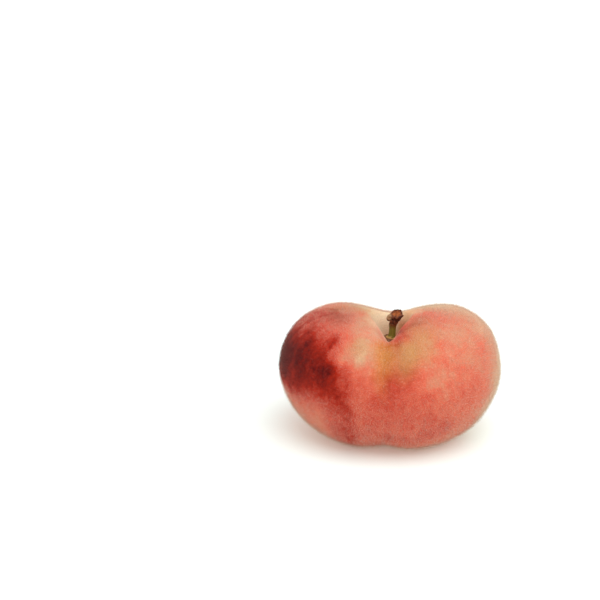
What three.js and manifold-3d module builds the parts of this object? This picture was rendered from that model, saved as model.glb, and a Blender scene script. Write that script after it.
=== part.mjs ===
// A flat peach as picked: the fruit, its short green stalk, and the stalk's brown woody end, with
// the bud scales that came away from the branch with it.
//
// Millimetres, +Z up. The fruit rests on the flattened ring round its blossom end at z = 0, with
// its stalk cavity upwards. -Y is the front, where the suture runs from the cavity down to the
// blossom end; the two cheeks lie along X.

import * as THREE from "three";
import { mergeVertices } from "three/addons/utils/BufferGeometryUtils.js";
import Module from "manifold-3d";

// ---------------------------------------------------------------- driving dimensions
// How far the skin reaches from the stalk's axis, at its widest level.
const REACH = { right: 35.1, left: 35.5, front: 33.5, back: 33.3 };
// How far each shoulder rises above that level, before the cavity is taken out of it.
const RISE = { right: 22.1, left: 20.9, front: 19.4, back: 13.6, pole: 17.1 };
const WIDEST_HEIGHT = 22.1;
const DROP = 24.8; // how far the underside would reach below the widest level, unflattened

const FRONT = 1.5 * Math.PI; // the azimuth of the suture
// The flat middle that the cheeks roll round.
const CORE_RADIUS = 14.0;
const CORE_EDGE = 0.43; // how softly the core meets the cheeks
const CORE_TAPER = { share: 0.22, ease: 0.15 }; // how much the core narrows towards the base
const SHOULDER = { fullness: 0.45, turn: 0.97, spread: 0.25 }; // the right cheek's fuller shoulder
const BACK_SHARPNESS = 3.5; // the low back shoulder is narrower than the front one

// The suture: a shallow valley down the front, deeper towards the base. It fades in between two
// distances from the stalk's axis.
const SUTURE = { halfWidth: 6.0, side: 0.9, base: 0.7, from: 4.0, full: 12.0 };
const SUTURE_BASE_AT = 2.45; // radians from the stalk's pole
const SUTURE_BASE_SPREAD = 0.5;

// The stalk cavity, a steep funnel with a small flat seat in it.
const CAVITY = { depth: 8.1, width: 2.8, power: 2.6, seatRadius: 2.6 };
// The notch that the suture cuts through the front of the cavity's rim.
const NOTCH = { depth: 8.0, halfWidth: 3.6, power: 1.5, roundness: 0.5, from: 2.0, full: 4.5 };
const NOTCH_AT = 4.0; // distance from the stalk's axis
const NOTCH_SPREAD = 13.0;
const CARVING_SHARPNESS = 5; // how sharply the cavity and the notch give way to each other
const DIMPLE = { depth: 4.0, width: 8.0 }; // at the blossom end

const PIECE_GAP = 0.3; // clearance between pieces that grow on each other

// The stalk: a slim shaft on a collar that spreads over the seat, more to the left than the right.
const STALK = { height: 5.1, radius: 1.0, topRadius: 1.25 };
const COLLAR = { radius: 2.0, height: 1.25, sharpness: 8, x: -0.1 };
const SHAFT_FOOT_X = 0.47;
const SHAFT_TOP = { x: 0.7, y: 0.1 };

// The stalk's woody end: a knob, widening upwards from its neck, and how far its top leans over.
const KNOB = { neckRadius: 1.25, radius: 1.85, height: 4.6, lean: { x: 1.3, y: 0.1 } };
// The bud scales round the knob: the way each one faces in degrees from +X, its middle's height
// up the knob and distance out from the knob's axis, its size, and how far its tip is splayed.
const SCALES = [
  { facing: 187, up: 1.85, out: 1.75, length: 2.1, width: 2.1, thickness: 1.9, splay: 12 },
  { facing: 236, up: 0.95, out: 1.45, length: 1.9, width: 1.8, thickness: 0.9, splay: 28 },
  { facing: 282, up: 0.75, out: 1.3, length: 1.8, width: 1.7, thickness: 0.9, splay: 14 },
  { facing: 327, up: 0.75, out: 1.4, length: 2.0, width: 1.7, thickness: 1.0, splay: 22 },
  { facing: 357, up: 2.0, out: 1.75, length: 2.3, width: 1.8, thickness: 1.0, splay: 16 },
  { facing: 55, up: 1.1, out: 1.55, length: 2.0, width: 1.9, thickness: 0.9, splay: 30 },
  { facing: 121, up: 1.3, out: 1.6, length: 2.1, width: 1.9, thickness: 1.0, splay: 24 },
];

// How finely each surface is divided: rings from pole to pole, and points round each ring.
const FRUIT_GRID = { rings: 44, around: 88 };
const STALK_GRID = { rings: 20, around: 16 };
const KNOB_GRID = { rings: 12, around: 16 };
const SCALE_GRID = { rings: 8, around: 10 };

// ---------------------------------------------------------------- small helpers
const { sin, cos, exp, max, abs, hypot, PI } = Math;
const radians = (degrees) => (degrees * PI) / 180;
const mix = (a, b, share) => a + (b - a) * share;
const bump = (x, centre, spread) => exp(-(((x - centre) / spread) ** 2));

function smoothstep(low, high, x) {
  const s = Math.min(1, max(0, (x - low) / (high - low)));
  return s * s * (3 - 2 * s);
}

// A closed surface: pointAt(along, round) gives [x, y, z], along runs from 0 at the top pole to 1
// at the bottom pole, and round from 0 to 2 pi, anticlockwise seen from above.
function closedSurface({ rings, around }, pointAt) {
  const points = [pointAt(0, 0)];
  for (let i = 1; i < rings; i++)
    for (let j = 0; j < around; j++)
      points.push(pointAt(i / rings, (2 * PI * j) / around));
  points.push(pointAt(1, 0));
  const at = (i, j) => 1 + (i - 1) * around + (j % around);
  const last = points.length - 1;
  const faces = [];
  for (let j = 0; j < around; j++) {
    faces.push(0, at(1, j), at(1, j + 1));
    for (let i = 1; i < rings - 1; i++) {
      faces.push(at(i, j), at(i + 1, j), at(i + 1, j + 1));
      faces.push(at(i, j), at(i + 1, j + 1), at(i, j + 1));
    }
    faces.push(at(rings - 1, j), last, at(rings - 1, j + 1));
  }
  const geometry = new THREE.BufferGeometry();
  geometry.setAttribute("position", new THREE.Float32BufferAttribute(points.flat(), 3));
  geometry.setIndex(faces);
  geometry.computeVertexNormals();
  return geometry;
}

// ---------------------------------------------------------------- the fruit
// The share that each of the four sides has in the shape at one azimuth; they add up to 1.
function sideShares(azimuth) {
  const front = max(-sin(azimuth), 0) ** 2;
  const back = max(sin(azimuth), 0) ** BACK_SHARPNESS;
  const cheeks = 1 - front - back;
  const right = cheeks * smoothstep(-0.5, 0.5, cos(azimuth));
  return { front, back, right, left: cheeks - right };
}

const blend = (sizes, shares) =>
  sizes.right * shares.right +
  sizes.left * shares.left +
  sizes.front * shares.front +
  sizes.back * shares.back;

// How deep the top is carved: as deep as the deeper of the cavity and the notch, eased together.
function carvedDepth(radius, across, front) {
  const pastSeat = max(radius - CAVITY.seatRadius, 0) / CAVITY.width;
  const cavity = CAVITY.depth * exp(-(pastSeat ** CAVITY.power));
  const aside = hypot(across, NOTCH.roundness) / NOTCH.halfWidth;
  const notch =
    NOTCH.depth *
    exp(-(aside ** NOTCH.power)) *
    bump(radius, NOTCH_AT, NOTCH_SPREAD) *
    smoothstep(NOTCH.from, NOTCH.full, radius) *
    front;
  return (cavity ** CARVING_SHARPNESS + notch ** CARVING_SHARPNESS) ** (1 / CARVING_SHARPNESS);
}

const dimpleRise = (radius) => DIMPLE.depth * exp(-((radius / DIMPLE.width) ** 2));

// A point of the skin, turn radians down from the stalk's pole. A meridian is a flat core that a
// round cheek rolls round, swollen a little on the right shoulder; the suture, the cavity, the
// notch and the dimple are then pressed into it, and what would hang below the surface it rests
// on is pressed flat.
function skinPoint(turn, azimuth) {
  const sweep = sin(turn);
  const lift = cos(turn);
  const shares = sideShares(azimuth);
  const tucked = hypot(max(-lift, 0), CORE_TAPER.ease) - CORE_TAPER.ease;
  const core =
    CORE_RADIUS * (1 - exp(-((sweep / CORE_EDGE) ** 2))) * (1 - CORE_TAPER.share * tucked);
  const radius = core + (blend(REACH, shares) - CORE_RADIUS) * sweep;
  const rise = mix(RISE.pole, blend(RISE, shares), smoothstep(0, 0.6, sweep));

  const across = radius * cos(azimuth);
  const front = smoothstep(0, 0.6, -sin(azimuth));
  const valley = exp(-(abs(across / SUTURE.halfWidth) ** 1.7)) * front;
  const pressed =
    valley *
    smoothstep(SUTURE.from, SUTURE.full, radius) *
    (SUTURE.side + SUTURE.base * bump(turn, SUTURE_BASE_AT, SUTURE_BASE_SPREAD));

  const swell = SHOULDER.fullness * bump(turn, SHOULDER.turn, SHOULDER.spread) * shares.right;

  const bare = WIDEST_HEIGHT + ((lift > 0 ? rise : DROP) + swell - pressed) * lift;
  const z = lift > 0 ? bare - carvedDepth(radius, across, front) : bare + dimpleRise(radius);
  const out = radius + (swell - pressed) * sweep;
  return [out * cos(azimuth), out * sin(azimuth), max(z, 0)];
}

// Rings lie closer together near the poles, where the cavity and the dimple are, and meridians
// closer together at the front, where the notch is.
const ringTurn = (along) => PI * along - 0.26 * sin(2 * PI * along);
const meridian = (round) => round - 0.45 * sin(round - FRONT);

const fruitGeometry = closedSurface(FRUIT_GRID, (along, round) =>
  skinPoint(ringTurn(along), meridian(round)),
);
const seatHeight = skinPoint(0, 0)[2];

// ---------------------------------------------------------------- the stalk
const stalkFoot = seatHeight + PIECE_GAP;
const CAP_SHARE = 0.1; // the first and last part of each way from pole to pole draws a flat end

// How far up its side a point is, from 0 to 1, and how far a flat end has closed in to its pole.
function sideOf(along) {
  const up = 1 - along;
  return {
    risen: Math.min(1, max(0, (up - CAP_SHARE) / (1 - 2 * CAP_SHARE))),
    closing: Math.min(1, up / CAP_SHARE, along / CAP_SHARE),
  };
}

function stalkPoint(along, azimuth) {
  const { risen, closing } = sideOf(along);
  const height = STALK.height * risen;
  const spread = 1 / (1 + (height / COLLAR.height) ** COLLAR.sharpness);
  const shaftRadius = mix(STALK.radius, STALK.topRadius, risen ** 6);
  const radius = closing * mix(shaftRadius, COLLAR.radius, spread);
  const shaftX = mix(SHAFT_FOOT_X, SHAFT_TOP.x, risen);
  return [
    mix(shaftX, COLLAR.x, spread) + radius * cos(azimuth),
    SHAFT_TOP.y * risen + radius * sin(azimuth),
    stalkFoot + height,
  ];
}

const stalkGeometry = closedSurface(STALK_GRID, stalkPoint);
const stalkTop = stalkFoot + STALK.height;

// ---------------------------------------------------------------- the stalk's woody end
const wasm = await Module();
wasm.setup();

function toSolid(geometry) {
  const bare = geometry.clone();
  bare.deleteAttribute("normal");
  bare.deleteAttribute("uv");
  const merged = mergeVertices(bare, 1e-4);
  return new wasm.Manifold(
    new wasm.Mesh({
      numProp: 3,
      vertProperties: new Float32Array(merged.attributes.position.array),
      triVerts: new Uint32Array(merged.index.array),
    }),
  );
}

function toGeometry(solid) {
  const { vertProperties, triVerts } = solid.getMesh();
  const geometry = new THREE.BufferGeometry();
  geometry.setAttribute("position", new THREE.Float32BufferAttribute(vertProperties, 3));
  geometry.setIndex(new THREE.Uint32BufferAttribute(triVerts, 1));
  geometry.computeVertexNormals();
  return geometry;
}

const knobFoot = stalkTop + PIECE_GAP;

// The knob's axis leans, so a point of it depends on how far up the knob it is, from 0 to 1.
const knobAxis = (risen) => [
  SHAFT_TOP.x + KNOB.lean.x * risen,
  SHAFT_TOP.y + KNOB.lean.y * risen,
];

// The knob: flat below, widest two thirds of the way up, and torn off in a low dome at the top.
function knobPoint(along, azimuth) {
  const up = 1 - along;
  const risen = max(0, (up - CAP_SHARE) / (1 - CAP_SHARE));
  const lumps = 1 + 0.08 * sin(3 * azimuth + 0.7) + 0.05 * sin(5 * azimuth + 2.1);
  const girth = mix(KNOB.neckRadius, KNOB.radius, smoothstep(0.05, 0.6, risen));
  const dome = Math.sqrt(max(0, 1 - max(0, (risen - 0.6) / 0.4) ** 2));
  const radius = girth * lumps * dome * Math.min(1, up / CAP_SHARE);
  const [x, y] = knobAxis(risen);
  return [x + radius * cos(azimuth), y + radius * sin(azimuth), knobFoot + KNOB.height * risen];
}

// One bud scale: a thick blunt leaf, cupped towards the knob, before it is turned into place.
function scaleGeometry({ length, width, thickness }) {
  return closedSurface(SCALE_GRID, (along, azimuth) => {
    const up = 1 - along;
    const outline = Math.sqrt(max(0, 1 - (2 * up - 1) ** 2)) * mix(1.1, 0.85, up);
    const side = (width / 2) * outline * cos(azimuth);
    const cup = 0.3 * (side / (width / 2)) ** 2;
    return [(thickness / 2) * outline * sin(azimuth) - cup, -side, length * (up - 0.5)];
  });
}

function placedScale(scale) {
  const geometry = scaleGeometry(scale);
  const [x, y] = knobAxis(scale.up / KNOB.height);
  geometry.rotateY(radians(scale.splay));
  geometry.translate(scale.out, 0, 0);
  geometry.rotateZ(radians(scale.facing));
  geometry.translate(x, y, knobFoot + scale.up);
  return geometry;
}

let knob = toSolid(closedSurface(KNOB_GRID, knobPoint));
for (const scale of SCALES) knob = knob.add(toSolid(placedScale(scale)));

// ---------------------------------------------------------------- the object
const finish = (color, roughness) =>
  new THREE.MeshStandardMaterial({ color, roughness, metalness: 0 });

function named(name, geometry, material) {
  const mesh = new THREE.Mesh(geometry, material);
  mesh.name = name;
  return mesh;
}

const peach = new THREE.Group();
peach.add(named("fruit", fruitGeometry, finish(0xd9705a, 0.85)));
peach.add(named("stalk", stalkGeometry, finish(0x6b6420, 0.6)));
peach.add(named("stalk_end", toGeometry(knob), finish(0x7a4322, 0.8)));

export default peach;
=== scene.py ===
"""A flat peach in Blender: velvety skin with its fuzz, a green stalk and its scaly brown end."""

import math
from collections import namedtuple

import bpy
import numpy as np
from bpy.props import FloatProperty, FloatVectorProperty, IntProperty, PointerProperty
from mathutils import Matrix, Vector


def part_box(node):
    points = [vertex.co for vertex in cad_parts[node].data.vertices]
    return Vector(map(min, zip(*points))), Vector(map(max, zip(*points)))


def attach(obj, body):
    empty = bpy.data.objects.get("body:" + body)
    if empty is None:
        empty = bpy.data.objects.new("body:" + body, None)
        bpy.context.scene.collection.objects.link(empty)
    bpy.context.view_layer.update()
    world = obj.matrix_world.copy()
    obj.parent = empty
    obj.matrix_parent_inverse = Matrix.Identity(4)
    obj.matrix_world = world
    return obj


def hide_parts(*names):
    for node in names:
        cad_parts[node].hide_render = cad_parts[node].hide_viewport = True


bl_info = {
    "name": "Flat Peach",
    "version": (1, 0, 0),
    "blender": (4, 5, 0),
    "location": "View3D > Sidebar > Peach",
    "description": "Builds a flat peach with its fuzz and its stalk, on a plain pale stage",
    "category": "Add Mesh",
}

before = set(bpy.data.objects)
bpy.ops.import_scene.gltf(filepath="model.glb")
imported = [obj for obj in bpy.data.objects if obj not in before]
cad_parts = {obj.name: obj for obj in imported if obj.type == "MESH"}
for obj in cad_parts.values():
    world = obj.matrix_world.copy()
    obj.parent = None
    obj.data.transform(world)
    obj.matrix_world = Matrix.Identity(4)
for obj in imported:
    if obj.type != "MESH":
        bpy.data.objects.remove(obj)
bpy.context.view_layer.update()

MM = 0.001
FRONT = 1.5 * math.pi  # the azimuth of the suture, at -Y

# ------------------------------------------------------------------ the fruit's dimensions
# How far the skin reaches from the stalk's axis, and how far each shoulder rises, by side.
REACH = {"right": 35.1 * MM, "left": 35.5 * MM, "front": 33.5 * MM, "back": 33.3 * MM}
RISE = {"right": 22.1 * MM, "left": 20.9 * MM, "front": 19.4 * MM, "back": 13.6 * MM}
POLE_RISE = 17.1 * MM
WIDEST_HEIGHT = 22.1 * MM
DROP = 24.8 * MM
CORE_RADIUS = 14.0 * MM
CORE_EDGE = 0.43
CORE_TAPER = 0.22
CORE_TAPER_EASE = 0.15
SHOULDER_FULLNESS = {"right": 0.45 * MM, "left": 0, "front": 0, "back": 0}
SHOULDER_AT, SHOULDER_SPREAD = 0.97, 0.25  # radians from the stalk's pole
BACK_SHARPNESS = 3.5
SUTURE_HALF_WIDTH, SUTURE_POWER = 6.0 * MM, 1.7
SUTURE_DEPTH = {"side": 0.9 * MM, "base": 0.7 * MM}
SUTURE_BASE_AT, SUTURE_BASE_SPREAD = 2.45, 0.5
SUTURE_FADE = (4.0 * MM, 12.0 * MM)
CAVITY_DEPTH, CAVITY_WIDTH, CAVITY_POWER = 8.1 * MM, 2.8 * MM, 2.6
SEAT_RADIUS = 2.6 * MM
NOTCH_DEPTH, NOTCH_HALF_WIDTH, NOTCH_POWER = 8.0 * MM, 3.6 * MM, 1.5
NOTCH_ROUNDNESS = 0.5 * MM
NOTCH_AT, NOTCH_SPREAD = 4.0 * MM, 13.0 * MM
NOTCH_FADE = (2.0 * MM, 4.5 * MM)
CARVING_SHARPNESS = 5
DIMPLE_DEPTH, DIMPLE_WIDTH = 4.0 * MM, 8.0 * MM

SKIN_RINGS, SKIN_AROUND = 204, 320
RING_CROWDING = 0.26  # how much closer the rings lie at the poles, in radians
SUTURE_CROWDING = 0.5  # how much closer the meridians lie at the suture
LUMP_SIZE, SMALL_LUMP_SIZE, SMALL_LUMPS = 13 * MM, 4.5 * MM, 0.35
LUMP_SEED, SMALL_LUMP_SEED = 3, 5
CREASE_HALF_WIDTH = 0.55 * MM
CREASE_WANDER, CREASE_BEND = 0.4 * MM, 4 * MM  # how far from side to side, and over what height
CREASE_FAINT = 0.35  # the share of its depth that it keeps away from the top
CREASE_AT, CREASE_SPREAD = 0.75, 0.45  # radians from the stalk's pole

# ------------------------------------------------------------------ the stalk's dimensions
# The outline of the stalk from the middle of its foot to the middle of its top: radius, height.
STALK_OUTLINE = [
    (0.0, 0.0), (1.3, 0.0), (2.0, 0.1), (2.3, 0.45), (2.3, 0.85), (2.05, 1.2), (1.6, 1.12),
    (1.28, 1.35), (1.12, 1.9), (1.05, 2.8), (1.05, 3.9), (1.1, 4.6), (1.22, 5.2), (1.2, 5.7),
    (0.6, 5.9), (0.0, 5.9),
]
STALK_HEIGHT = 5.9 * MM
STALK_SINK = 0.15 * MM  # how far its foot is pressed into the seat
COLLAR_X, COLLAR_TOP = -0.1 * MM, 1.25 * MM
COLLAR_TONGUE = 4.2  # the azimuth that the collar spreads furthest to
SHAFT_FOOT_X, SHAFT_TOP_X, SHAFT_TOP_Y = 0.3 * MM, 0.7 * MM, 0.1 * MM
STALK_RINGS, STALK_AROUND = 120, 84

# The knob, whose axis goes on from the stalk's and leans over to the right.
KNOB_OUTLINE = [
    (0.0, -0.2), (0.9, -0.15), (1.2, 0.1), (1.25, 0.7), (1.36, 1.3), (1.66, 1.9), (2.02, 2.45),
    (2.0, 2.85), (1.66, 3.35), (1.3, 3.9), (0.95, 4.4), (0.4, 4.62), (0.0, 4.6),
]
KNOB_HEIGHT = 4.6 * MM
KNOB_LEAN = (1.3 * MM, 0.1 * MM)
KNOB_RINGS, KNOB_AROUND = 120, 120
TEAR_MIDDLE = (0.0, 0.0, 2.7)  # the knob's own middle that the torn face is measured from
TEAR_FACING = (0.1, -0.85, 0.55)
TEAR_STRETCH = (0.8, 1.0, 1.35)  # the tear is wider than it is high
# Where the torn wood's and the weathered bud's colours lie: X, Y and the height over the foot.
TORN_AT, TORN_HALF_SIZE = (1.7, -1.4, 3.6), (1.7, 1.7, 0.9)
BUD_AT = (-0.6, -0.6, 2.3)

# Each bud scale: where it faces, its middle's height up the knob and distance out from the knob's
# axis, its size, and how far its tip is splayed. Millimetres and degrees.
BudScale = namedtuple("BudScale", "facing up out length width thickness splay")
BUD_SCALES = [
    BudScale(187, 1.85, 1.75, 2.1, 2.1, 1.9, 12),
    BudScale(236, 0.95, 1.45, 1.9, 1.8, 0.5, 28),
    BudScale(282, 0.75, 1.3, 1.8, 1.7, 0.5, 14),
    BudScale(327, 0.75, 1.4, 2.0, 1.7, 0.5, 22),
    BudScale(357, 2.0, 1.75, 2.3, 1.8, 0.55, 16),
    BudScale(55, 1.1, 1.55, 2.0, 1.9, 0.5, 30),
    BudScale(121, 1.3, 1.6, 2.1, 1.9, 0.5, 24),
]
SCALE_RINGS, SCALE_AROUND = 36, 30

# ------------------------------------------------------------------ the fuzz
FUZZ_PIECES = 4
FUZZ_SEED = 11
FUZZ_ROOT_SINK = 0.03 * MM
HAIR_LEAN = 0.22  # the usual lean, as a share of the height
HAIR_LENGTHS, HAIR_WIDTHS = (0.45, 1.25), (0.7, 1.3)  # shares of the usual ones
CAVITY_FUZZ = (6 * MM, 14 * MM)  # from the stalk's axis, where bare skin turns to full fuzz
NOTCH_FUZZ = 0.4  # the share that a distance to the front counts for, so the notch is barer
MAP_SQUARE = 0.003  # a hair's side on the map
MAP_HEIGHT = 42 * MM

# ------------------------------------------------------------------ the stage
FLOOR_HALF_SIZE = 3.0
LIGHT_FROM, LIGHT_SPREAD = (0.35, -0.45, 1.0), math.radians(60)
FILM_WIDTH = 36.0

# ------------------------------------------------------------------ colour on the skin
# The skin has a pale ground colour under a red pigment. A patch's middle and half sizes are in
# millimetres, and core is the share of its half size that it is full in. Its change is what it
# adds to the pigment there, or for a tint the share of the colour that it covers.
Patch = namedtuple("Patch", "middle half_size change core")
PIGMENT_BARE = 0.45
PIGMENT_PATCHES = [
    Patch((-5, -6.5, 23.5), (23, 40, 36), 0.71, 0.1),  # the left half
    # These reach maroon towards the far left: partly the cheek's own dark red, partly a painted
    # shadow cast by a neighbouring fruit.
    Patch((-29, -13.5, 28.5), (31, 60, 17), 0.57, 0.3),
    Patch((-29, -7, 26.5), (11, 20, 11), 0.28, 0.2),
    Patch((-25, -20, 30), (5.7, 19, 10.5), 0.09, 0.2),
    Patch((-18, -27, 26), (4.5, 7, 7.5), 0.12, 0.2),
    Patch((-13.5, -30, 20), (4, 6, 6), 0.07, 0.2),
    Patch((-34, 9, 18), (12, 20, 14), 0.3, 0.1),
    Patch((-16.5, -22, 37.5), (3.3, 6.5, 4), 0.20, 0.1),
    Patch((-19, -3, 41.5), (13.5, 12.5, 7.5), 0.24, 0.2),  # its crown
    Patch((-7, -15.5, 28.5), (15, 21, 16.5), -1.08, 0.25),  # left of the suture
    Patch((-2, 2.3, 38.5), (23, 19, 4.4), -0.93, 0.2),
    Patch((-9.5, -25.5, 33), (8.5, 6.5, 4.8), -0.26, 0.1),
    Patch((2.2, -19.5, 36), (5.7, 14.5, 5.7), 0.16, 0.2),  # right of it
    Patch((8, -3.5, 38.5), (21.5, 15, 6), 0.52, 0.2),
    Patch((5.5, -31, 29), (10, 9, 10), 0.15, 0.2),
    Patch((1.3, -37, 22), (10.5, 6.5, 7), 0.28, 0.2),
    Patch((16.5, 2.5, 28.5), (18, 29, 19.5), -0.83, 0.2),  # the right half
    Patch((9, -27, 18.5), (11.5, 9.5, 9), 0.34, 0.2),
    Patch((14.5, -33.5, 23.5), (5, 7.5, 4.4), 0.19, 0.2),
    Patch((23.5, -22, 22.5), (12, 11.5, 10.5), 0.09, 0.2),
    # Less pigment towards the right edge: a painted sheen, the pale veil that the fuzz shows
    # where it is seen at a grazing angle.
    Patch((29, 3, 17), (21, 21.5, 27.5), -0.50, 0.2),
    Patch((35, 11, 14), (14, 14, 20), 0.45, 0.2),
    Patch((-12, -22.5, 12.5), (8, 15.5, 19.5), 0.31, 0.2),  # the lower side
    Patch((12.5, -25, 11.5), (17, 7.5, 10), 0.27, 0.2),
    Patch((0, 2, -2), (28, 25, 12), -0.42, 0.1),  # the base
]
TINT_PATCHES = [  # each lies over the pigment's colour and the tints before it
    (Patch((-0.4, -25, 32.5), (4.8, 13, 17), 0.38, 0.1), "ochre"),
    (Patch((6, -26, 33), (7, 10.5, 9.5), 0.33, 0.1), "straw"),
    (Patch((10.5, -16, 36), (8.5, 19, 8), 0.35, 0.1), "straw"),
    (Patch((-7, -24, 35.5), (7, 6, 6), 0.2, 0.1), "straw"),
    (Patch((-14, 3, 41), (12, 7, 4), 0.15, 0.2), "straw"),
    # Painted shade: these two darken and dull the skin on the crests by the notch, where it faces
    # away from the light and is seen at a grazing angle.
    (Patch((-13, -5, 40.5), (12, 17, 5), 0.22, 0.1), "notch_shade"),
    (Patch((8.5, -6.5, 40), (5.5, 8, 3.5), 0.24, 0.1), "notch_shade"),
    (Patch((-2.5, 2, 34), (10, 15, 7.5), 0.85, 0.3), "cream"),
    (Patch((-5.7, -16.5, 34.5), (6, 13, 5), 0.35, 0.2), "cream"),
    (Patch((8, 1.5, 40.5), (4.5, 6, 2.5), 0.35, 0.2), "ground"),
    (Patch((5.5, 3, 38), (3.5, 7, 4), 0.5, 0.2), "apricot"),
    # Painted shade: the brown round the stalk's foot and on the cavity's wall behind the stalk
    # stands in for the shade in that hollow.
    (Patch((3.6, 2.5, 33.5), (3, 6.5, 3.8), 0.6, 0.3), "stalk_foot_shade"),
    (Patch((-0.5, 0.5, 31.5), (5, 6.5, 4.4), 0.55, 0.2), "stalk_foot_shade"),
    (Patch((0, 0, 1.3), (2.6, 2.6, 2.6), 0.9, 0.3), "scar"),  # the blossom's
]
# How much pigment it takes to reach each colour in full, in order from the ground's.
PIGMENT_FIRST = 0.06  # below this the skin is bare ground colour
PIGMENT_STEPS = [
    ("peach", 0.30), ("salmon", 0.50), ("coral", 0.70), ("crimson", 0.95), ("maroon", 1.22),
]
# Noise that moves the patches' edges: its size, and how far it moves them, in millimetres.
DRIFT_SIZE, DRIFT = 8.0, 4.0
# Noise that mottles the pigment: the size of its features in millimetres, detail, roughness and
# how much pigment it adds or takes.
Mottling = namedtuple("Mottling", "size detail roughness change")
CLOUDS = Mottling(9.0, 3.0, 0.6, 0.34)
MOTTLE = Mottling(2.8, 4.0, 0.65, 0.38)
FINE = Mottling(0.8, 3.0, 0.7, 0.2)
STREAKS = Mottling(1.0, 4.0, 0.65, 0.34)
STREAKS_ROUND, STREAKS_UP = 12.0, 0.10  # how close they lie round the fruit and up it
MOTTLING_BARE, MOTTLING_RED = 0.35, 1.1  # its strength without pigment, and more for each unit
MOTTLING_CALM = (1.45, 0.8)  # the pigment at which it is calm again, and starts to calm
# The pigment from which the bloom thins and the hairs take the skin's colour, and in full.
BLOOM_FLUSH, FUZZ_FLUSH = (0.75, 1.05), (0.7, 1.05)
GRAIN_SIZE = 0.42


# ------------------------------------------------------------------ numbers
def smooth_step(low, high, x):
    """0 below low, 1 above high, and between them three times the square less twice the cube."""
    s = np.clip((x - low) / (high - low), 0.0, 1.0)
    return s * s * (3.0 - 2.0 * s)


def bump(x, centre, spread):
    """A bell: e to the power of minus the square of the distance from centre over spread."""
    return np.exp(-(((x - centre) / spread) ** 2))


def mix(a, b, share):
    return a + (b - a) * share


def linear(display):
    """A display colour's linear values: the sRGB curve undone for each of its numbers."""
    return tuple(
        c / 12.92 if c <= 0.04045 else ((c + 0.055) / 1.055) ** 2.4 for c in display
    )


def waves(points, size, seed, count=7):
    """Gentle lumps about size across, between -1 and 1: the mean of count sine waves that cross
    the points in random directions."""
    rng = np.random.default_rng(seed)
    directions = rng.normal(size=(count, 3))
    directions /= np.linalg.norm(directions, axis=1)[:, None]
    rates = 2 * math.pi / (size * rng.uniform(0.7, 1.5, count))
    phases = rng.uniform(0, 2 * math.pi, count)
    return np.sin(points @ (directions * rates[:, None]).T + phases).mean(axis=-1)


def smooth_path(corners, count):
    """count points on a Catmull-Rom spline through the corners, evenly spread from corner to
    corner: each stretch is the cubic whose ends lean towards the corners either side."""
    corners = np.asarray(corners, float)
    ends = np.vstack([2 * corners[0] - corners[1], corners, 2 * corners[-1] - corners[-2]])
    place = np.linspace(0, len(corners) - 1, count)
    stretch = np.minimum(place.astype(int), len(corners) - 2)
    t = (place - stretch)[:, None]
    a, b, c, d = (ends[stretch + k] for k in range(4))
    return 0.5 * (2 * b + (c - a) * t + (2 * a - 5 * b + 4 * c - d) * t**2
                  + (3 * b - a - 3 * c + d) * t**3)


# ------------------------------------------------------------------ meshes
def new_piece(name, points, faces, smooth=True):
    """A mesh object at the origin from an array of points and arrays of faces, each array with
    the same number of corners in all its rows."""
    mesh = bpy.data.meshes.new(name)
    mesh.vertices.add(len(points))
    mesh.vertices.foreach_set("co", np.ascontiguousarray(points, np.float32).ravel())
    corners = np.concatenate([f.ravel() for f in faces]).astype(np.int32)
    counts = np.concatenate([np.full(len(f), f.shape[1], np.int32) for f in faces])
    starts = np.concatenate([[0], np.cumsum(counts)[:-1]]).astype(np.int32)
    mesh.loops.add(len(corners))
    mesh.loops.foreach_set("vertex_index", corners)
    mesh.polygons.add(len(counts))
    mesh.polygons.foreach_set("loop_start", starts)
    mesh.polygons.foreach_set("use_smooth", np.full(len(counts), smooth))
    mesh.update(calc_edges=True)
    mesh.validate()
    piece = bpy.data.objects.new(name, mesh)
    bpy.context.scene.collection.objects.link(piece)
    return piece


def closed_faces(rings, around, first=0):
    """The faces of a closed surface whose points are one pole, rings of points, and the other
    pole. Seen from outside they turn anticlockwise if the rings do from the first pole."""
    j = np.arange(around)
    after = (j + 1) % around
    start = first + 1
    top = np.stack([np.full(around, first), start + j, start + after], 1)
    i = np.arange(rings - 1)[:, None] * around
    here, there = start + i + j, start + i + after
    quads = np.stack([here, here + around, there + around, there], -1).reshape(-1, 4)
    last = start + (rings - 1) * around
    pole = np.full(around, last + around)
    bottom = np.stack([last + j, pole, last + after], 1)
    return [top, quads, bottom]


def closed_points(grid):
    """A grid of points, pole rows first and last, as the list that closed_faces counts in."""
    return np.concatenate([grid[0, :1], grid[1:-1].reshape(-1, 3), grid[-1, :1]])


def joined(parts):
    """Several (points, faces) parts as one: the faces of each are moved on past the points of
    those before it."""
    points, faces, first = [], [], 0
    for part_points, part_faces in parts:
        points.append(part_points)
        faces += [f + first for f in part_faces]
        first += len(part_points)
    return np.concatenate(points), faces


def finish_piece(piece, material, slot, *nodes):
    piece.data.materials.append(material)
    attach(piece, "root")
    if nodes:
        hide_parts(*nodes)


# ------------------------------------------------------------------ the skin's surface
def by_side(sizes, azimuth):
    """One size for each azimuth. The front's share is the square of minus the sine, the back's a
    higher power of the sine, and the cheeks share the rest, changing over across X = 0."""
    front = np.maximum(-np.sin(azimuth), 0) ** 2
    back = np.maximum(np.sin(azimuth), 0) ** BACK_SHARPNESS
    cheeks = 1 - front - back
    right = cheeks * smooth_step(-0.5, 0.5, np.cos(azimuth))
    return (
        sizes["front"] * front
        + sizes["back"] * back
        + sizes["right"] * right
        + sizes["left"] * (cheeks - right)
    )


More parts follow.
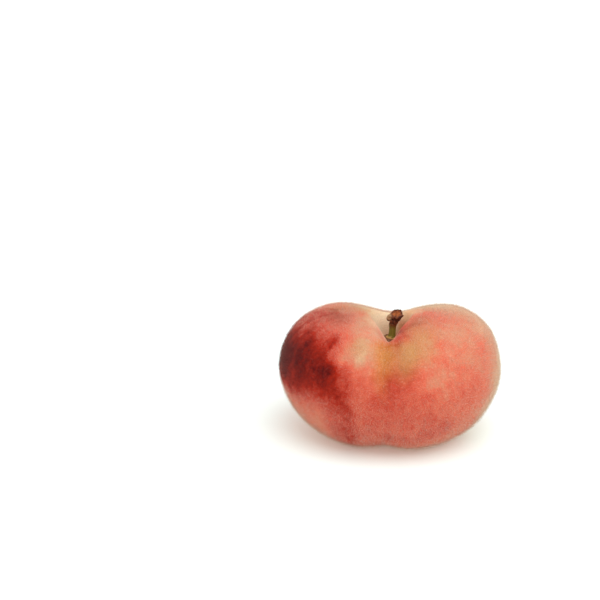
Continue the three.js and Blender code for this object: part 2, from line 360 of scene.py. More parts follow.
def carved_depth(radius, across, front):
    """How deep the top is carved: a high-power mean of the cavity, a bell of the radius past its
    seat, and the notch, a pointed bell across X = 0 that fades with the radius."""
    past_seat = np.maximum(radius - SEAT_RADIUS, 0) / CAVITY_WIDTH
    cavity = CAVITY_DEPTH * np.exp(-(past_seat**CAVITY_POWER))
    aside = np.hypot(across, NOTCH_ROUNDNESS) / NOTCH_HALF_WIDTH
    notch = NOTCH_DEPTH * np.exp(-(aside**NOTCH_POWER)) * bump(radius, NOTCH_AT, NOTCH_SPREAD)
    notch = notch * smooth_step(*NOTCH_FADE, radius) * front
    sharp = CARVING_SHARPNESS
    return ((cavity / MM) ** sharp + (notch / MM) ** sharp) ** (1 / sharp) * MM


def skin_points(turn, azimuth):
    """The skin at turn radians down from the stalk's pole. A flat core, whose radius is one less
    a bell of the sine of turn, is widened by that sine times what is left of the reach, and
    raised by its cosine times the rise or the drop. The suture is pressed in along the surface's
    own direction, by a bell across X = 0, and the right shoulder swells out, by a bell of turn.
    What would come below the floor is pressed flat."""
    sweep, lift = np.sin(turn), np.cos(turn)
    tucked = np.hypot(np.maximum(-lift, 0), CORE_TAPER_EASE) - CORE_TAPER_EASE
    core = CORE_RADIUS * (1 - np.exp(-((sweep / CORE_EDGE) ** 2))) * (1 - CORE_TAPER * tucked)
    radius = core + (by_side(REACH, azimuth) - CORE_RADIUS) * sweep
    rise = mix(POLE_RISE, by_side(RISE, azimuth), smooth_step(0, 0.6, sweep))
    upper = lift > 0

    across = radius * np.cos(azimuth)
    front = smooth_step(0, 0.6, -np.sin(azimuth))
    valley = np.exp(-np.abs(across / SUTURE_HALF_WIDTH) ** SUTURE_POWER) * front
    pressed = valley * smooth_step(*SUTURE_FADE, radius) * (
        SUTURE_DEPTH["side"]
        + SUTURE_DEPTH["base"] * bump(turn, SUTURE_BASE_AT, SUTURE_BASE_SPREAD)
    )
    swell = by_side(SHOULDER_FULLNESS, azimuth) * bump(turn, SHOULDER_AT, SHOULDER_SPREAD)
    height = WIDEST_HEIGHT + (np.where(upper, rise, DROP) + swell - pressed) * lift
    dimple = DIMPLE_DEPTH * bump(radius, 0, DIMPLE_WIDTH)
    height = height + np.where(upper, -carved_depth(radius, across, front), dimple)
    out = radius + (swell - pressed) * sweep
    return np.stack([out * np.cos(azimuth), out * np.sin(azimuth), np.maximum(height, 0)], -1)


def skin_grid(lump_height, crease_depth):
    """The skin with its fine relief, as a grid of rings from pole to pole. Rings crowd towards
    the poles and meridians towards the suture. Lumps of waves in two sizes move each point along
    its ray from the fruit's middle, and so does a narrow wandering crease that follows the
    suture, a bell across it that is deepest near the top. The poles are left clear of both."""
    along = np.linspace(0, 1, SKIN_RINGS + 2)[:, None]
    turn = math.pi * along - RING_CROWDING * np.sin(2 * math.pi * along)
    round_ = np.linspace(0, 2 * math.pi, SKIN_AROUND, endpoint=False)[None, :]
    azimuth = round_ - SUTURE_CROWDING * np.sin(round_ - FRONT)
    turn, azimuth = np.broadcast_arrays(turn, azimuth)
    grid = skin_points(turn, azimuth)
    middle = np.array([0, 0, WIDEST_HEIGHT])
    ray = grid - middle
    ray /= np.linalg.norm(ray, axis=-1, keepdims=True)
    flat_radius = np.hypot(grid[..., 0], grid[..., 1])
    clear = smooth_step(0.5 * SEAT_RADIUS, 3 * SEAT_RADIUS, flat_radius)
    lumps = waves(grid, LUMP_SIZE, LUMP_SEED)
    lumps = lumps + SMALL_LUMPS * waves(grid, SMALL_LUMP_SIZE, SMALL_LUMP_SEED)
    front = smooth_step(0, 0.4, -np.sin(azimuth))
    wander = CREASE_WANDER * np.sin(grid[..., 2] / CREASE_BEND)
    crease = bump(grid[..., 0] + wander, 0, CREASE_HALF_WIDTH) * front
    crease = crease * mix(CREASE_FAINT, 1, bump(turn, CREASE_AT, CREASE_SPREAD))
    moved = clear * (lump_height * lumps - crease_depth * crease)
    grid = grid + ray * moved[..., None]
    grid[..., 2] = np.maximum(grid[..., 2], 0)
    return grid


# ------------------------------------------------------------------ the fuzz
def hairs_on(skin, count, rng, length, width):
    """count hairs as closed three-sided spikes on a mesh of the skin, less those that are left
    out round the stalk and along the notch. A root is a random place in a face, drawn by area.
    The tip lies one length away along the normal plus a random lean, and the foot's three
    corners stand round the root. Returns points, faces and map places."""
    mesh = skin.data
    mesh.calc_loop_triangles()
    corners = np.empty(len(mesh.loop_triangles) * 3, np.int32)
    mesh.loop_triangles.foreach_get("vertices", corners)
    corners = corners.reshape(-1, 3)
    places = np.empty(len(mesh.vertices) * 3, np.float32)
    mesh.vertices.foreach_get("co", places)
    places = places.reshape(-1, 3).astype(float)
    a, b, c = (places[corners[:, k]] for k in range(3))
    normal = np.cross(b - a, c - a)
    area = np.linalg.norm(normal, axis=1) / 2
    chosen = rng.choice(len(area), count, p=area / area.sum())
    s, t = rng.random((2, count, 1))
    s, t = np.where(s + t > 1, 1 - s, s), np.where(s + t > 1, 1 - t, t)
    root = a[chosen] + (b - a)[chosen] * s + (c - a)[chosen] * t
    up = normal[chosen] / np.linalg.norm(normal[chosen], axis=1, keepdims=True)

    side = rng.normal(size=(count, 3))
    side -= up * (side * up).sum(1, keepdims=True)
    side /= np.linalg.norm(side, axis=1, keepdims=True)
    other = np.cross(up, side)
    lean = np.abs(rng.normal(0.0, HAIR_LEAN, (count, 1)))
    reach = length * rng.uniform(*HAIR_LENGTHS, (count, 1)) / np.sqrt(1 + lean**2)
    tip = root + (up + lean * side) * reach
    half = width / 2 * rng.uniform(*HAIR_WIDTHS, (count, 1))
    foot = root - up * FUZZ_ROOT_SINK
    ring = [
        foot + half * (math.cos(k) * side + math.sin(k) * other)
        for k in (0, 2 * math.pi / 3, 4 * math.pi / 3)
    ]
    points = np.stack(ring + [tip], 1)
    along_notch = root[:, 1] * np.where(root[:, 1] < 0, NOTCH_FUZZ, 1)
    thinned = smooth_step(*CAVITY_FUZZ, np.hypot(root[:, 0], along_notch))
    kept = (rng.random(count) < thinned) | (root[:, 2] < WIDEST_HEIGHT)
    points = points[kept]
    points[..., 2] = np.maximum(points[..., 2], 0)
    first = 4 * np.arange(len(points))[:, None]
    spike = np.array([[0, 1, 3], [1, 2, 3], [2, 0, 3], [2, 1, 0]])
    faces = (first[:, None, :] + spike).reshape(-1, 3)

    # Each hair lies on the map as a small square, at its root's azimuth and height.
    azimuth = np.arctan2(root[kept, 1], root[kept, 0])
    u = (azimuth / (2 * math.pi) + 0.5) * (1 - MAP_SQUARE)
    v = (root[kept, 2] / MAP_HEIGHT) * (1 - MAP_SQUARE)
    square = MAP_SQUARE * np.array([[0, 0], [1, 0], [1, 1], [0, 1]])
    at = np.stack([u, v], 1)[:, None, :] + square
    return points.reshape(-1, 3), faces, at.reshape(-1, 2)


def write_map(piece, at):
    """A UV map with one place for each vertex, named OFBake."""
    corners = np.empty(len(piece.data.loops), np.int32)
    piece.data.loops.foreach_get("vertex_index", corners)
    layer = piece.data.uv_layers.new(name="OFBake")
    layer.uv.foreach_set("vector", at[corners].astype(np.float32).ravel())


# ------------------------------------------------------------------ the stalk and its end
def lathe(outline, around):
    """An outline of (radius, height) turned round Z: radius, height and azimuth on one grid, in
    millimetres and radians."""
    azimuth = np.linspace(0, 2 * math.pi, around, endpoint=False)[None, :]
    radius, height = outline[:, :1], outline[:, 1:]
    return np.broadcast_arrays(radius, height, azimuth)


def stalk_part(foot_height):
    """The stalk: its outline turned round an axis that moves from the collar's middle to the
    shaft's, then along the leaning shaft. The radius has ridges of five and eleven waves on the
    shaft, and on the collar a rim of three, five and thirteen waves with one broad tongue. The
    collar's rim also curls up and down, and fine lumps cover it all."""
    outline = smooth_path(STALK_OUTLINE, STALK_RINGS + 2)[::-1]
    radius, height, azimuth = lathe(outline, STALK_AROUND)
    radius, height = np.maximum(radius, 0) * MM, height * MM
    on_collar = 1 - smooth_step(0.9 * COLLAR_TOP, 1.3 * COLLAR_TOP, height)
    ridges = 0.05 * np.cos(5 * azimuth + 0.9 + 0.25 * height / MM)
    ridges = ridges + 0.025 * np.cos(11 * azimuth + 2.0 - 0.2 * height / MM)
    rim = 0.07 * np.cos(3 * azimuth + 0.4) + 0.05 * np.cos(5 * azimuth + 1.9)
    rim = rim + 0.3 * ((1 + np.cos(azimuth - COLLAR_TONGUE)) / 2) ** 6
    rim = rim + 0.03 * np.cos(13 * azimuth + 0.3)
    radius = radius * (1 + mix(ridges, rim, on_collar))
    climb = np.clip(height / STALK_HEIGHT, 0, 1)
    shaft_x = mix(SHAFT_FOOT_X, SHAFT_TOP_X, climb)
    wave = 0.28 * MM * np.cos(2 * azimuth + 0.4) + 0.16 * MM * np.cos(5 * azimuth + 2.2)
    wave = wave * on_collar * smooth_step(1.1 * MM, 2.3 * MM, radius)
    grid = np.stack([
        mix(shaft_x, COLLAR_X, on_collar) + radius * np.cos(azimuth),
        SHAFT_TOP_Y * climb + radius * np.sin(azimuth),
        foot_height + height + wave * smooth_step(0, 0.5 * MM, height),
    ], -1)
    grid += 0.035 * MM * waves(grid, 0.9 * MM, 21)[..., None] * np.array([1, 1, 0.3])
    return grid


def knob_axis(up):
    """The knob's axis at up millimetres above its foot, which leans evenly."""
    risen = np.clip(up * MM / KNOB_HEIGHT, 0, 1)
    return SHAFT_TOP_X + KNOB_LEAN[0] * risen, SHAFT_TOP_Y + KNOB_LEAN[1] * risen


def knob_part(foot_height):
    """The knob: its outline turned, made lumpy by two, five and nine waves round it and rough
    all over, with a hollow where it was torn off, deepest along TEAR_FACING and edged by a
    raised rim."""
    outline = smooth_path(KNOB_OUTLINE, KNOB_RINGS + 2)[::-1]
    radius, height, azimuth = lathe(outline, KNOB_AROUND)
    radius = np.maximum(radius, 0)
    lumps = 0.07 * np.sin(2 * azimuth + 1.6) + 0.07 * np.sin(5 * azimuth + 2.1)
    lumps = lumps + 0.05 * np.sin(9 * azimuth + 0.8) * smooth_step(1.2, 2.4, height)
    radius = radius * (1 + lumps)
    local = np.stack([radius * np.cos(azimuth), radius * np.sin(azimuth), height], -1)
    ray = local - np.array(TEAR_MIDDLE)
    ray /= np.maximum(np.linalg.norm(ray, axis=-1, keepdims=True), 1e-9)
    facing = np.array(TEAR_FACING) / np.linalg.norm(TEAR_FACING)
    away = np.linalg.norm((ray - facing) * np.array(TEAR_STRETCH), axis=-1)
    away = away + 0.2 * waves(local, 1.2, 31)
    hollow = 0.34 * (1 - smooth_step(0.3, 0.85, away)) - 0.2 * bump(away, 0.95, 0.16)
    rough = 0.09 * waves(local, 0.4, 33) + 0.2 * waves(local, 1.0, 35)
    local = local + ray * (rough - hollow)[..., None]
    x, y = knob_axis(height)
    return np.stack([
        x + local[..., 0] * MM, y + local[..., 1] * MM, foot_height + local[..., 2] * MM
    ], -1)


def scale_part(scale, foot_height, seed):
    """One bud scale: an egg outline from root to tip, flattened to its thickness and cupped
    towards the knob, with fine ribs along it and a ragged tip. It is splayed, moved out, turned
    to its facing and raised to its place."""
    along = np.linspace(0, 1, SCALE_RINGS + 2)[:, None]
    azimuth = np.linspace(0, 2 * math.pi, SCALE_AROUND, endpoint=False)[None, :]
    along, azimuth = np.broadcast_arrays(along, azimuth)
    up = 1 - (1 - np.cos(math.pi * along)) / 2
    outline = np.sqrt(np.maximum(0, 1 - (2 * up - 1) ** 2)) * mix(1.1, 0.85, up)
    side = scale.width / 2 * outline * np.cos(azimuth)
    ribs = 0.05 * np.sin(side * 14 + seed) * np.maximum(np.sin(azimuth), 0) * outline
    thick = scale.thickness / 2 * outline * np.sin(azimuth) + ribs * min(scale.thickness, 1)
    cup = 0.38 * (side / (scale.width / 2)) ** 2
    curl = 0.25 * np.maximum(up - 0.5, 0) ** 2 * (1 if seed % 2 else -1.2)
    ragged = 0.16 * smooth_step(0.6, 1, up) * np.sin(side * 5 + seed * 1.7)
    local = np.stack([thick - cup + curl, -side, scale.length * (up - 0.5) + ragged], -1)
    local = local + 0.06 * waves(local, 0.8, 40 + seed)[..., None]
    splay, facing = math.radians(scale.splay), math.radians(scale.facing)
    x = local[..., 0] * math.cos(splay) + local[..., 2] * math.sin(splay) + scale.out
    z = local[..., 2] * math.cos(splay) - local[..., 0] * math.sin(splay) + scale.up
    y = local[..., 1]
    axis_x, axis_y = knob_axis(scale.up)
    return np.stack([
        axis_x + MM * (x * math.cos(facing) - y * math.sin(facing)),
        axis_y + MM * (x * math.sin(facing) + y * math.cos(facing)),
        foot_height + MM * z,
    ], -1)


# ------------------------------------------------------------------ shader maths
class Signal:
    """A number, place or colour in a material. Arithmetic on numbers adds Math nodes."""

    def __init__(self, shader, socket):
        self.shader, self.socket = shader, socket

    def _math(self, operation, *values):
        return self.shader.node("ShaderNodeMath", {"operation": operation}, values)

    def __add__(self, other):
        return self._math("ADD", self, other)

    def __sub__(self, other):
        return self._math("SUBTRACT", self, other)

    def __mul__(self, other):
        return self._math("MULTIPLY", self, other)

    def __truediv__(self, other):
        return self._math("DIVIDE", self, other)

    def __rsub__(self, other):
        return self._math("SUBTRACT", other, self)

    def __rtruediv__(self, other):
        return self._math("DIVIDE", other, self)

    __radd__, __rmul__ = __add__, __mul__


class Shader:
    """One material's node tree. Every node in it is made by node()."""

    def __init__(self, name):
        self.material = bpy.data.materials.new(name)
        self.material.use_nodes = True
        self.tree = self.material.node_tree
        self.tree.nodes.clear()

    def node(self, kind, settings=None, values=(), output=0):
        """Adds a node, makes its settings, then sets or links its sockets: values is a list in
        socket order, or a dict by socket name or number. Returns one output as a Signal."""
        made = self.tree.nodes.new(kind)
        for key, value in (settings or {}).items():
            setattr(made, key, value)
        pairs = values.items() if isinstance(values, dict) else enumerate(values)
        for key, value in pairs:
            if isinstance(value, Signal):
                self.tree.links.new(value.socket, made.inputs[key])
            else:
                made.inputs[key].default_value = value
        return Signal(self, made.outputs[output]) if made.outputs else None

    def place(self):
        """The point's Object coordinates in millimetres."""
        coordinates = self.node("ShaderNodeTexCoord", output="Object")
        return self.vector("SCALE", coordinates, scale=1 / MM)

    def vector(self, operation, first, second=(0, 0, 0), scale=1.0, output=0):
        values = {0: first, "Scale": scale} if operation == "SCALE" else {0: first, 1: second}
        return self.node("ShaderNodeVectorMath", {"operation": operation}, values, output)

    def split(self, vector):
        parts = self.node("ShaderNodeSeparateXYZ", None, [vector]).socket.node
        return [Signal(self, output) for output in parts.outputs]

    def joined(self, x, y, z):
        return self.node("ShaderNodeCombineXYZ", None, [x, y, z])

    def noise(self, place, size, detail=2.0, roughness=0.5, colour=False):
        """Cloudy noise between 0 and 1 whose features are about size across."""
        return self.node(
            "ShaderNodeTexNoise", None,
            {"Vector": place, "Scale": 1 / size, "Detail": detail, "Roughness": roughness},
            "Color" if colour else 0,
        )

    def ramp(self, value, low, high, smooth=True):
        """0 where value is at low, 1 where it is at high, and clamped beyond."""
        settings = {"interpolation_type": "SMOOTHSTEP" if smooth else "LINEAR"}
        return self.node(
            "ShaderNodeMapRange", settings, {"Value": value, "From Min": low, "From Max": high}
        )

    def blend(self, share, first, second):
        """The first colour where share is 0 and the second where it is 1."""
        first, second = (
            c if isinstance(c, Signal) else (*c[:3], 1.0) for c in (first, second)
        )
        values = {0: share, 6: first, 7: second}  # the node's colour sockets
        return self.node("ShaderNodeMix", {"data_type": "RGBA"}, values, 2)

    def bump(self, height, distance):
        """A normal from a height that goes from 0 to 1 over distance."""
        return self.node("ShaderNodeBump", None, {"Height": height, "Distance": distance})

    def surface(self, **sockets):
        """The Principled surface, its sockets named with underscores for spaces."""
        values = {key.replace("_", " "): value for key, value in sockets.items()}
        shader = self.node("ShaderNodeBsdfPrincipled", None, values)
        self.node("ShaderNodeOutputMaterial", None, {"Surface": shader})
        return self.material


# ------------------------------------------------------------------ finishes
def patch_share(shader, place, patch):
    """How much of a patch shows: all in its core, and nothing past its half sizes."""
    away = shader.vector("SUBTRACT", place, patch.middle)
    away = shader.vector("DIVIDE", away, patch.half_size)
    distance = shader.vector("LENGTH", away, output="Value")
    return shader.ramp(distance, 1.0, patch.core) * patch.change


def skin_colour(shader, place, look):
    """The skin's colour, with the pigment, the mottle and the fine noise behind it. The pigment
    is a sum of patches, whose edges cloudy noise moves about, and of mottling in three sizes and
    streaks down the meridians, which are strongest on red skin and calmer on pale and the
    darkest. The more pigment there is, the further the colour goes from the ground's to maroon,
    and the tints lie over that."""
    drift = shader.noise(place, DRIFT_SIZE, 4.0, 0.6, colour=True)
    drift = shader.vector("SUBTRACT", drift, (0.5, 0.5, 0.5))
    warped = shader.vector("ADD", place, shader.vector("SCALE", drift, scale=DRIFT))
    pigment = PIGMENT_BARE
    for patch in PIGMENT_PATCHES:
        pigment = patch_share(shader, warped, patch) + pigment

    x, y, z = shader.split(place)
    radius = shader.vector("LENGTH", shader.joined(x, y, 0.0), output="Value")
    meridian = shader.joined(
        x / radius * STREAKS_ROUND, y / radius * STREAKS_ROUND, z * STREAKS_UP
    )
    streaks, clouds, mottle, fine = (
        shader.noise(at, kind.size, kind.detail, kind.roughness)
        for at, kind in ((meridian, STREAKS), (place, CLOUDS), (place, MOTTLE), (place, FINE))
    )
    change = CLOUDS.change * (clouds - 0.5) + MOTTLE.change * (mottle - 0.5)
    change = change + STREAKS.change * (streaks - 0.5) + FINE.change * (fine - 0.5)
    red = pigment * shader.ramp(pigment, *MOTTLING_CALM)
    pigment = pigment + change * (MOTTLING_BARE + MOTTLING_RED * red)

    colour = (*linear(look.ground), 1.0)
    before = PIGMENT_FIRST
    for name, after in PIGMENT_STEPS:
        share = shader.ramp(pigment, before, after, smooth=False)
        colour = shader.blend(share, colour, linear(getattr(look, name)))
        before = after
    for patch, name in TINT_PATCHES:
        share = patch_share(shader, warped, patch)
        colour = shader.blend(share, colour, linear(getattr(look, name)))
    return colour, pigment, mottle, fine


def skin_material(look):
    """Matte skin with a pale bloom of the finest fuzz over it in specks, thicker towards the
    base and thinner on dark skin, and with a fine light and dark grain. The sheen is the part of
    the fuzz that shows at grazing angles."""
    shader = Shader("peach skin")
    place = shader.place()
    colour, pigment, mottle, fine = skin_colour(shader, place, look)
    height = shader.split(place)[2]
    grain = shader.noise(place, GRAIN_SIZE, 1.0, 0.5)
    bloom = shader.ramp(grain, 0.56, 0.74) * (0.09 + 0.22 * shader.ramp(height, 24.0, 6.0))
    bloom = bloom * (1 - 0.7 * shader.ramp(pigment, *BLOOM_FLUSH))
    colour = shader.blend(bloom, colour, linear(look.fuzz))
    colour = shader.vector("SCALE", colour, scale=0.8 + 0.4 * grain)
    return shader.surface(
        Base_Color=colour,
        Roughness=0.62 + 0.2 * mottle,
        Normal=shader.bump(mottle * 0.5 + fine * 0.5, 0.12 * MM),
        Specular_IOR_Level=0.12,
        Subsurface_Weight=0.08,
        Subsurface_Radius=(1.0, 0.35, 0.2),
        Subsurface_Scale=1.0 * MM,
        Sheen_Weight=0.2,
        Sheen_Roughness=0.3,
        Sheen_Tint=(*linear(look.fuzz), 1.0),
    )


def fuzz_material(look):
    """Pale hair that takes some of the colour of the skin it grows on, and most of it where the
    skin is dark."""
    shader = Shader("peach fuzz")
    place = shader.place()
    colour, pigment, *_ = skin_colour(shader, place, look)
    pale = 0.75 - 0.7 * shader.ramp(pigment, *FUZZ_FLUSH)
    return shader.surface(
        Base_Color=shader.blend(pale, colour, linear(look.fuzz)),
        Roughness=0.7,
        Specular_IOR_Level=0.1,
    )


def stalk_material(look):
    """Olive bark, browner up the stalk, along its grooves and at the collar's rim, which is pale
    on top."""
    shader = Shader("green stalk")
    place = shader.place()
    x, y, z = shader.split(place)
    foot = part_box("stalk")[0][2] / MM
    grain = shader.noise(shader.vector("MULTIPLY", place, (1, 1, 0.22)), 0.28, 4.0, 0.6)
    blotch = shader.noise(place, 1.1, 3.0)
    out = shader.vector("LENGTH", shader.joined(x - SHAFT_FOOT_X / MM, y, 0.0), output="Value")
    on_collar = shader.ramp(z, foot + 1.5, foot + 0.9)
    green, brown, pale = (linear(c) for c in (look.stalk_green, look.stalk_brown, look.collar))
    colour = shader.blend(shader.ramp(grain, 0.45, 0.7) * 0.6, green, brown)
    colour = shader.blend(shader.ramp(z + blotch * 2.0, foot + 4.4, foot + 5.8), colour, brown)
    colour = shader.blend(on_collar * shader.ramp(out, 1.0, 1.7), colour, pale)
    rim = on_collar * shader.ramp(out + grain * 0.3, 1.95, 2.2)
    colour = shader.blend(rim, colour, brown)
    colour = shader.blend(shader.ramp(z + grain * 0.3, foot + 0.45, foot + 0.1), colour, brown)
    return shader.surface(
        Base_Color=colour,
        Roughness=0.42 + 0.3 * grain,
        Normal=shader.bump(grain, 0.08 * MM),
        Specular_IOR_Level=0.4,
        Subsurface_Weight=0.05,
        Subsurface_Scale=0.5 * MM,
    )


def stalk_end_material(look):
    """Dry wood: dark brown with paler weathered scales and an orange-brown torn face."""
    shader = Shader("woody stalk end")
    place = shader.place()
    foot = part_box("stalk_end")[0][2] / MM
    on_knob = shader.vector("SUBTRACT", place, (0.0, 0.0, foot))
    grain = shader.noise(shader.vector("MULTIPLY", place, (1, 1, 0.35)), 0.22, 5.0, 0.65)
    blotch = shader.noise(place, 0.9, 4.0, 0.6)
    dark, wood, torn, grey = (
        linear(c) for c in (look.scale_dark, look.scale_brown, look.torn_wood, look.scale_grey)
    )
    colour = shader.blend(shader.ramp(blotch, 0.4, 0.62), dark, wood)
    away = shader.vector("SUBTRACT", on_knob, TORN_AT)
    away = shader.vector("DIVIDE", away, TORN_HALF_SIZE)
    face = shader.vector("LENGTH", away, output="Value")
    colour = shader.blend(shader.ramp(face + blotch * 1.4, 1.85, 1.3), colour, torn)
    cracks = shader.noise(shader.vector("MULTIPLY", place, (0.5, 1, 1.4)), 0.5, 4.0, 0.7)
    colour = shader.blend(shader.ramp(cracks, 0.5, 0.38) * 0.8, colour, dark)
    colour = shader.blend(shader.ramp(grain, 0.52, 0.3) * 0.5, colour, dark)
    bud = shader.vector("DISTANCE", on_knob, BUD_AT, output="Value")
    colour = shader.blend(shader.ramp(bud + grain * 0.7, 1.75, 1.25) * 0.9, colour, grey)
    return shader.surface(
        Base_Color=colour,
        Roughness=0.6 + 0.3 * grain,
        Normal=shader.bump(grain, 0.1 * MM),
        Specular_IOR_Level=0.3,
    )


def floor_material():
    """Matte white paper, with a faint unevenness. Its weak warm glow is painted bounce light,
    which keeps the shade on it light."""
    shader = Shader("white paper with painted glow")
    cloud = shader.noise(shader.place(), 40.0)
    colour = shader.blend(cloud * 0.5, (0.66, 0.79, 0.79), (0.67, 0.80, 0.80))
    return shader.surface(
        Base_Color=colour,
        Roughness=0.9,
        Specular_IOR_Level=0.0,
        # Painted warm bounce light: the floor glows so that the shade on it stays light and warm.
        Emission_Color=(1.0, 0.79, 0.64, 1.0),
        Emission_Strength=0.28,
    )


# ------------------------------------------------------------------ settings
def size_property(name, description, default):
    return FloatProperty(
        name=name, description=description, default=default, unit="LENGTH", precision=5
    )


def colour_property(name, description, default):
    return FloatVectorProperty(
        name=name, description=description, default=default, subtype="COLOR_GAMMA", min=0, max=1
    )


class PeachShape(bpy.types.PropertyGroup):
    """Sizes of the finer forms."""

    lump_height: size_property("Lump height", "How far the soft lumps stand out", 0.16 * MM)
    crease_depth: size_property("Crease depth", "Depth of the fine line in the suture", 0.3 * MM)
    fuzz_length: size_property("Fuzz length", "Usual length of a hair", 0.85 * MM)
    fuzz_width: size_property("Fuzz width", "Thickness of a hair at its root", 0.03 * MM)
    hairs: IntProperty(
        name="Hairs", description="Hairs drawn for each of the fuzz's pieces", default=49000
    )


class PeachLook(bpy.types.PropertyGroup):
    """Colours, as a display shows them."""

    ground: colour_property("Ground", "Skin without any pigment", (0.80, 0.66, 0.52))
    peach: colour_property("Peach", "With a little pigment", (0.78, 0.52, 0.40))
    salmon: colour_property("Salmon", "The cheeks' main colour", (0.81, 0.39, 0.29))
    coral: colour_property("Coral", "The redder mottling and the lower side", (0.76, 0.29, 0.21))
    crimson: colour_property("Crimson", "The reddest cheek", (0.65, 0.12, 0.02))
    # Maroon is partly the darkest red skin and partly painted shadow of a neighbouring fruit on
    # the far left.
    maroon: colour_property("Maroon", "With the most pigment", (0.36, 0.01, 0.01))
    ochre: colour_property("Ochre", "Green that shows along the suture", (0.62, 0.57, 0.14))
    straw: colour_property("Straw", "Green that shows to its right", (0.57, 0.67, 0.36))
    cream: colour_property("Cream", "The cavity's wall", (0.88, 0.80, 0.67))
    apricot: colour_property("Apricot", "The cavity's right wall", (0.94, 0.69, 0.50))
    # Painted shade: this brown darkens the hollow round the stalk's foot and the wall behind the
    # stalk.
    stalk_foot_shade: colour_property("Stalk foot shade", "Round the stalk's foot", (0.72, 0.40, 0.17))
    # Painted shade: this greyish brown darkens the crests by the notch where they turn from the
    # light.
    notch_shade: colour_property("Notch shade", "The duller skin round the notch", (0.55, 0.48, 0.36))
    scar: colour_property("Scar", "The blossom's scar", (0.36, 0.24, 0.14))
    fuzz: colour_property("Fuzz", "The hairs and the bloom", (0.93, 0.85, 0.77))
    stalk_green: colour_property("Stalk green", "The shaft", (0.45, 0.42, 0.13))
    stalk_brown: colour_property("Stalk brown", "Grooves, rim and top", (0.40, 0.22, 0.07))
    collar: colour_property("Collar", "The collar's top", (0.65, 0.48, 0.23))
    scale_dark: colour_property("Scale, dark", "Shaded bud scales", (0.27, 0.11, 0.06))
    scale_brown: colour_property("Scale, brown", "Bud scales", (0.48, 0.26, 0.14))
    scale_grey: colour_property("Scale, grey", "The weathered bud", (0.66, 0.52, 0.38))
    torn_wood: colour_property("Torn wood", "The torn face", (0.66, 0.36, 0.16))


class PeachStage(bpy.types.PropertyGroup):
    """The camera and the lights."""

    azimuth: FloatProperty(
        name="Azimuth", description="Camera's turn from the front towards +X",
        default=math.radians(7.2), unit="ROTATION",
    )
    elevation: FloatProperty(
        name="Elevation", description="How steeply the camera looks down",
        default=math.radians(16.5), unit="ROTATION",
    )
    distance: size_property("Distance", "From the camera to the origin's depth", 0.4636)
    aside: size_property("Aside", "How far right of the view's middle the origin lies", 0.02908)
    below: size_property("Below", "How far below the view's middle the origin lies", 0.04254)
    lens: FloatProperty(name="Lens", description="Focal length in millimetres", default=85.0)
    key: FloatProperty(name="Key", description="Strength of the wide front light", default=1.9)
    sky: FloatProperty(name="Sky", description="Strength of the white surround", default=0.9)


# ------------------------------------------------------------------ operators
class PEACH_OT_skin(bpy.types.Operator):
    """Build the fruit's skin as one fine closed surface"""

    bl_idname = "peach.skin"
    bl_label = "Skin"

    def execute(self, context):
        shape, look = context.scene.peach_shape, context.scene.peach_look
        grid = skin_grid(shape.lump_height, shape.crease_depth)
        skin = new_piece("skin", closed_points(grid), closed_faces(SKIN_RINGS, SKIN_AROUND))
        finish_piece(skin, skin_material(look), "skin", "fruit")
        return {"FINISHED"}


class PEACH_OT_fuzz(bpy.types.Operator):
    """Grow the fuzz on the skin, in several pieces of the same kind of hair"""

    bl_idname = "peach.fuzz"
    bl_label = "Fuzz"

    def execute(self, context):
        shape, look = context.scene.peach_shape, context.scene.peach_look
        material = fuzz_material(look)
        skin = bpy.data.objects["skin"]
        for number in range(FUZZ_PIECES):
            rng = np.random.default_rng(FUZZ_SEED + number)
            points, faces, at = hairs_on(
                skin, shape.hairs, rng, shape.fuzz_length, shape.fuzz_width
            )
            piece = new_piece(f"fuzz_{number + 1}", points, [faces])
            write_map(piece, at)
            finish_piece(piece, material, "skin")
        return {"FINISHED"}


class PEACH_OT_stalk(bpy.types.Operator):
    """Build the green stalk with the collar at its foot"""

    bl_idname = "peach.stalk"
    bl_label = "Stalk"

    def execute(self, context):
        seat = skin_points(np.zeros(1), np.zeros(1))[0, 2]
        grid = stalk_part(seat - STALK_SINK)
        stalk = new_piece(
            "green_stalk", closed_points(grid), closed_faces(STALK_RINGS, STALK_AROUND)
        )
        finish_piece(stalk, stalk_material(context.scene.peach_look), "stalk", "stalk")
        return {"FINISHED"}


class PEACH_OT_stalk_end(bpy.types.Operator):
    """Build the brown knob that the stalk ends in, with its bud scales"""

    bl_idname = "peach.stalk_end"
    bl_label = "Stalk end"

    def execute(self, context):
        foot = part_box("stalk")[1][2]
        parts = [(closed_points(knob_part(foot)), closed_faces(KNOB_RINGS, KNOB_AROUND))]
        for number, scale in enumerate(BUD_SCALES):
            grid = scale_part(scale, foot, number)
            parts.append((closed_points(grid), closed_faces(SCALE_RINGS, SCALE_AROUND)))
        end = new_piece("bud_scales", *joined(parts))
        finish_piece(end, stalk_end_material(context.scene.peach_look), "stalk_end", "stalk_end")
        return {"FINISHED"}


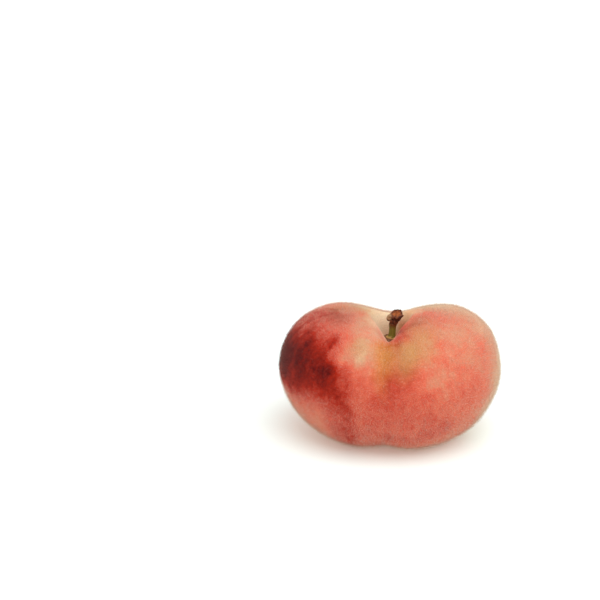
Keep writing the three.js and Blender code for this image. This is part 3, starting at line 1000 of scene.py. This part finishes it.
class PEACH_OT_stage(bpy.types.Operator):
    """Set the pale floor, the soft lights and the camera"""

    bl_idname = "peach.stage"
    bl_label = "Stage"

    def execute(self, context):
        stage, scene = context.scene.peach_stage, context.scene
        corners = np.array([(-1, -1, 0), (1, -1, 0), (1, 1, 0), (-1, 1, 0)]) * FLOOR_HALF_SIZE
        floor = new_piece("floor", corners, [np.array([[0, 1, 2, 3]])], smooth=False)
        floor.data.materials.append(floor_material())

        world = bpy.data.worlds.new("white surround")
        world.use_nodes = True
        background = world.node_tree.nodes["Background"]
        background.inputs["Color"].default_value = (1.0, 1.0, 1.0, 1.0)
        background.inputs["Strength"].default_value = stage.sky
        scene.world = world
        lamp = bpy.data.lights.new("wide front light", "SUN")
        lamp.energy, lamp.angle = stage.key, LIGHT_SPREAD
        light = bpy.data.objects.new(lamp.name, lamp)
        light.rotation_euler = (-Vector(LIGHT_FROM)).to_track_quat("-Z", "Y").to_euler()
        scene.collection.objects.link(light)

        sin_a, cos_a = math.sin(stage.azimuth), math.cos(stage.azimuth)
        sin_e, cos_e = math.sin(stage.elevation), math.cos(stage.elevation)
        right = Vector((cos_a, sin_a, 0))
        back = Vector((sin_a * cos_e, -cos_a * cos_e, sin_e))
        up = back.cross(right)
        lens = bpy.data.cameras.new("camera")
        lens.lens, lens.sensor_width = stage.lens, FILM_WIDTH
        lens.clip_start, lens.clip_end = 0.01, 20.0
        camera = bpy.data.objects.new("camera", lens)
        place = back * stage.distance - right * stage.aside + up * stage.below
        facing = Matrix((right, up, back)).transposed().to_4x4()
        camera.matrix_world = Matrix.Translation(place) @ facing
        scene.collection.objects.link(camera)
        scene.camera = camera
        scene.view_settings.view_transform = "Standard"
        return {"FINISHED"}


class PEACH_PT_panel(bpy.types.Panel):
    """The peach's pieces and settings in the sidebar"""

    bl_label = "Flat Peach"
    bl_space_type = "VIEW_3D"
    bl_region_type = "UI"
    bl_category = "Peach"

    def draw(self, context):
        for operator in OPERATORS:
            self.layout.operator(operator.bl_idname)
        for key, kind in GROUPS.items():
            box = self.layout.box()
            for name in kind.__annotations__:
                box.prop(getattr(context.scene, key), name)


GROUPS = {"peach_shape": PeachShape, "peach_look": PeachLook, "peach_stage": PeachStage}
OPERATORS = (PEACH_OT_skin, PEACH_OT_fuzz, PEACH_OT_stalk, PEACH_OT_stalk_end, PEACH_OT_stage)
CLASSES = (*GROUPS.values(), *OPERATORS, PEACH_PT_panel)


def register():
    for cls in CLASSES:
        bpy.utils.register_class(cls)
    for name, group in GROUPS.items():
        setattr(bpy.types.Scene, name, PointerProperty(type=group))


def unregister():
    for name in GROUPS:
        delattr(bpy.types.Scene, name)
    for cls in reversed(CLASSES):
        bpy.utils.unregister_class(cls)


def main():
    register()
    for operator in OPERATORS:
        group, name = operator.bl_idname.split(".")
        getattr(getattr(bpy.ops, group), name)()


if __name__ == "__main__":
    main()
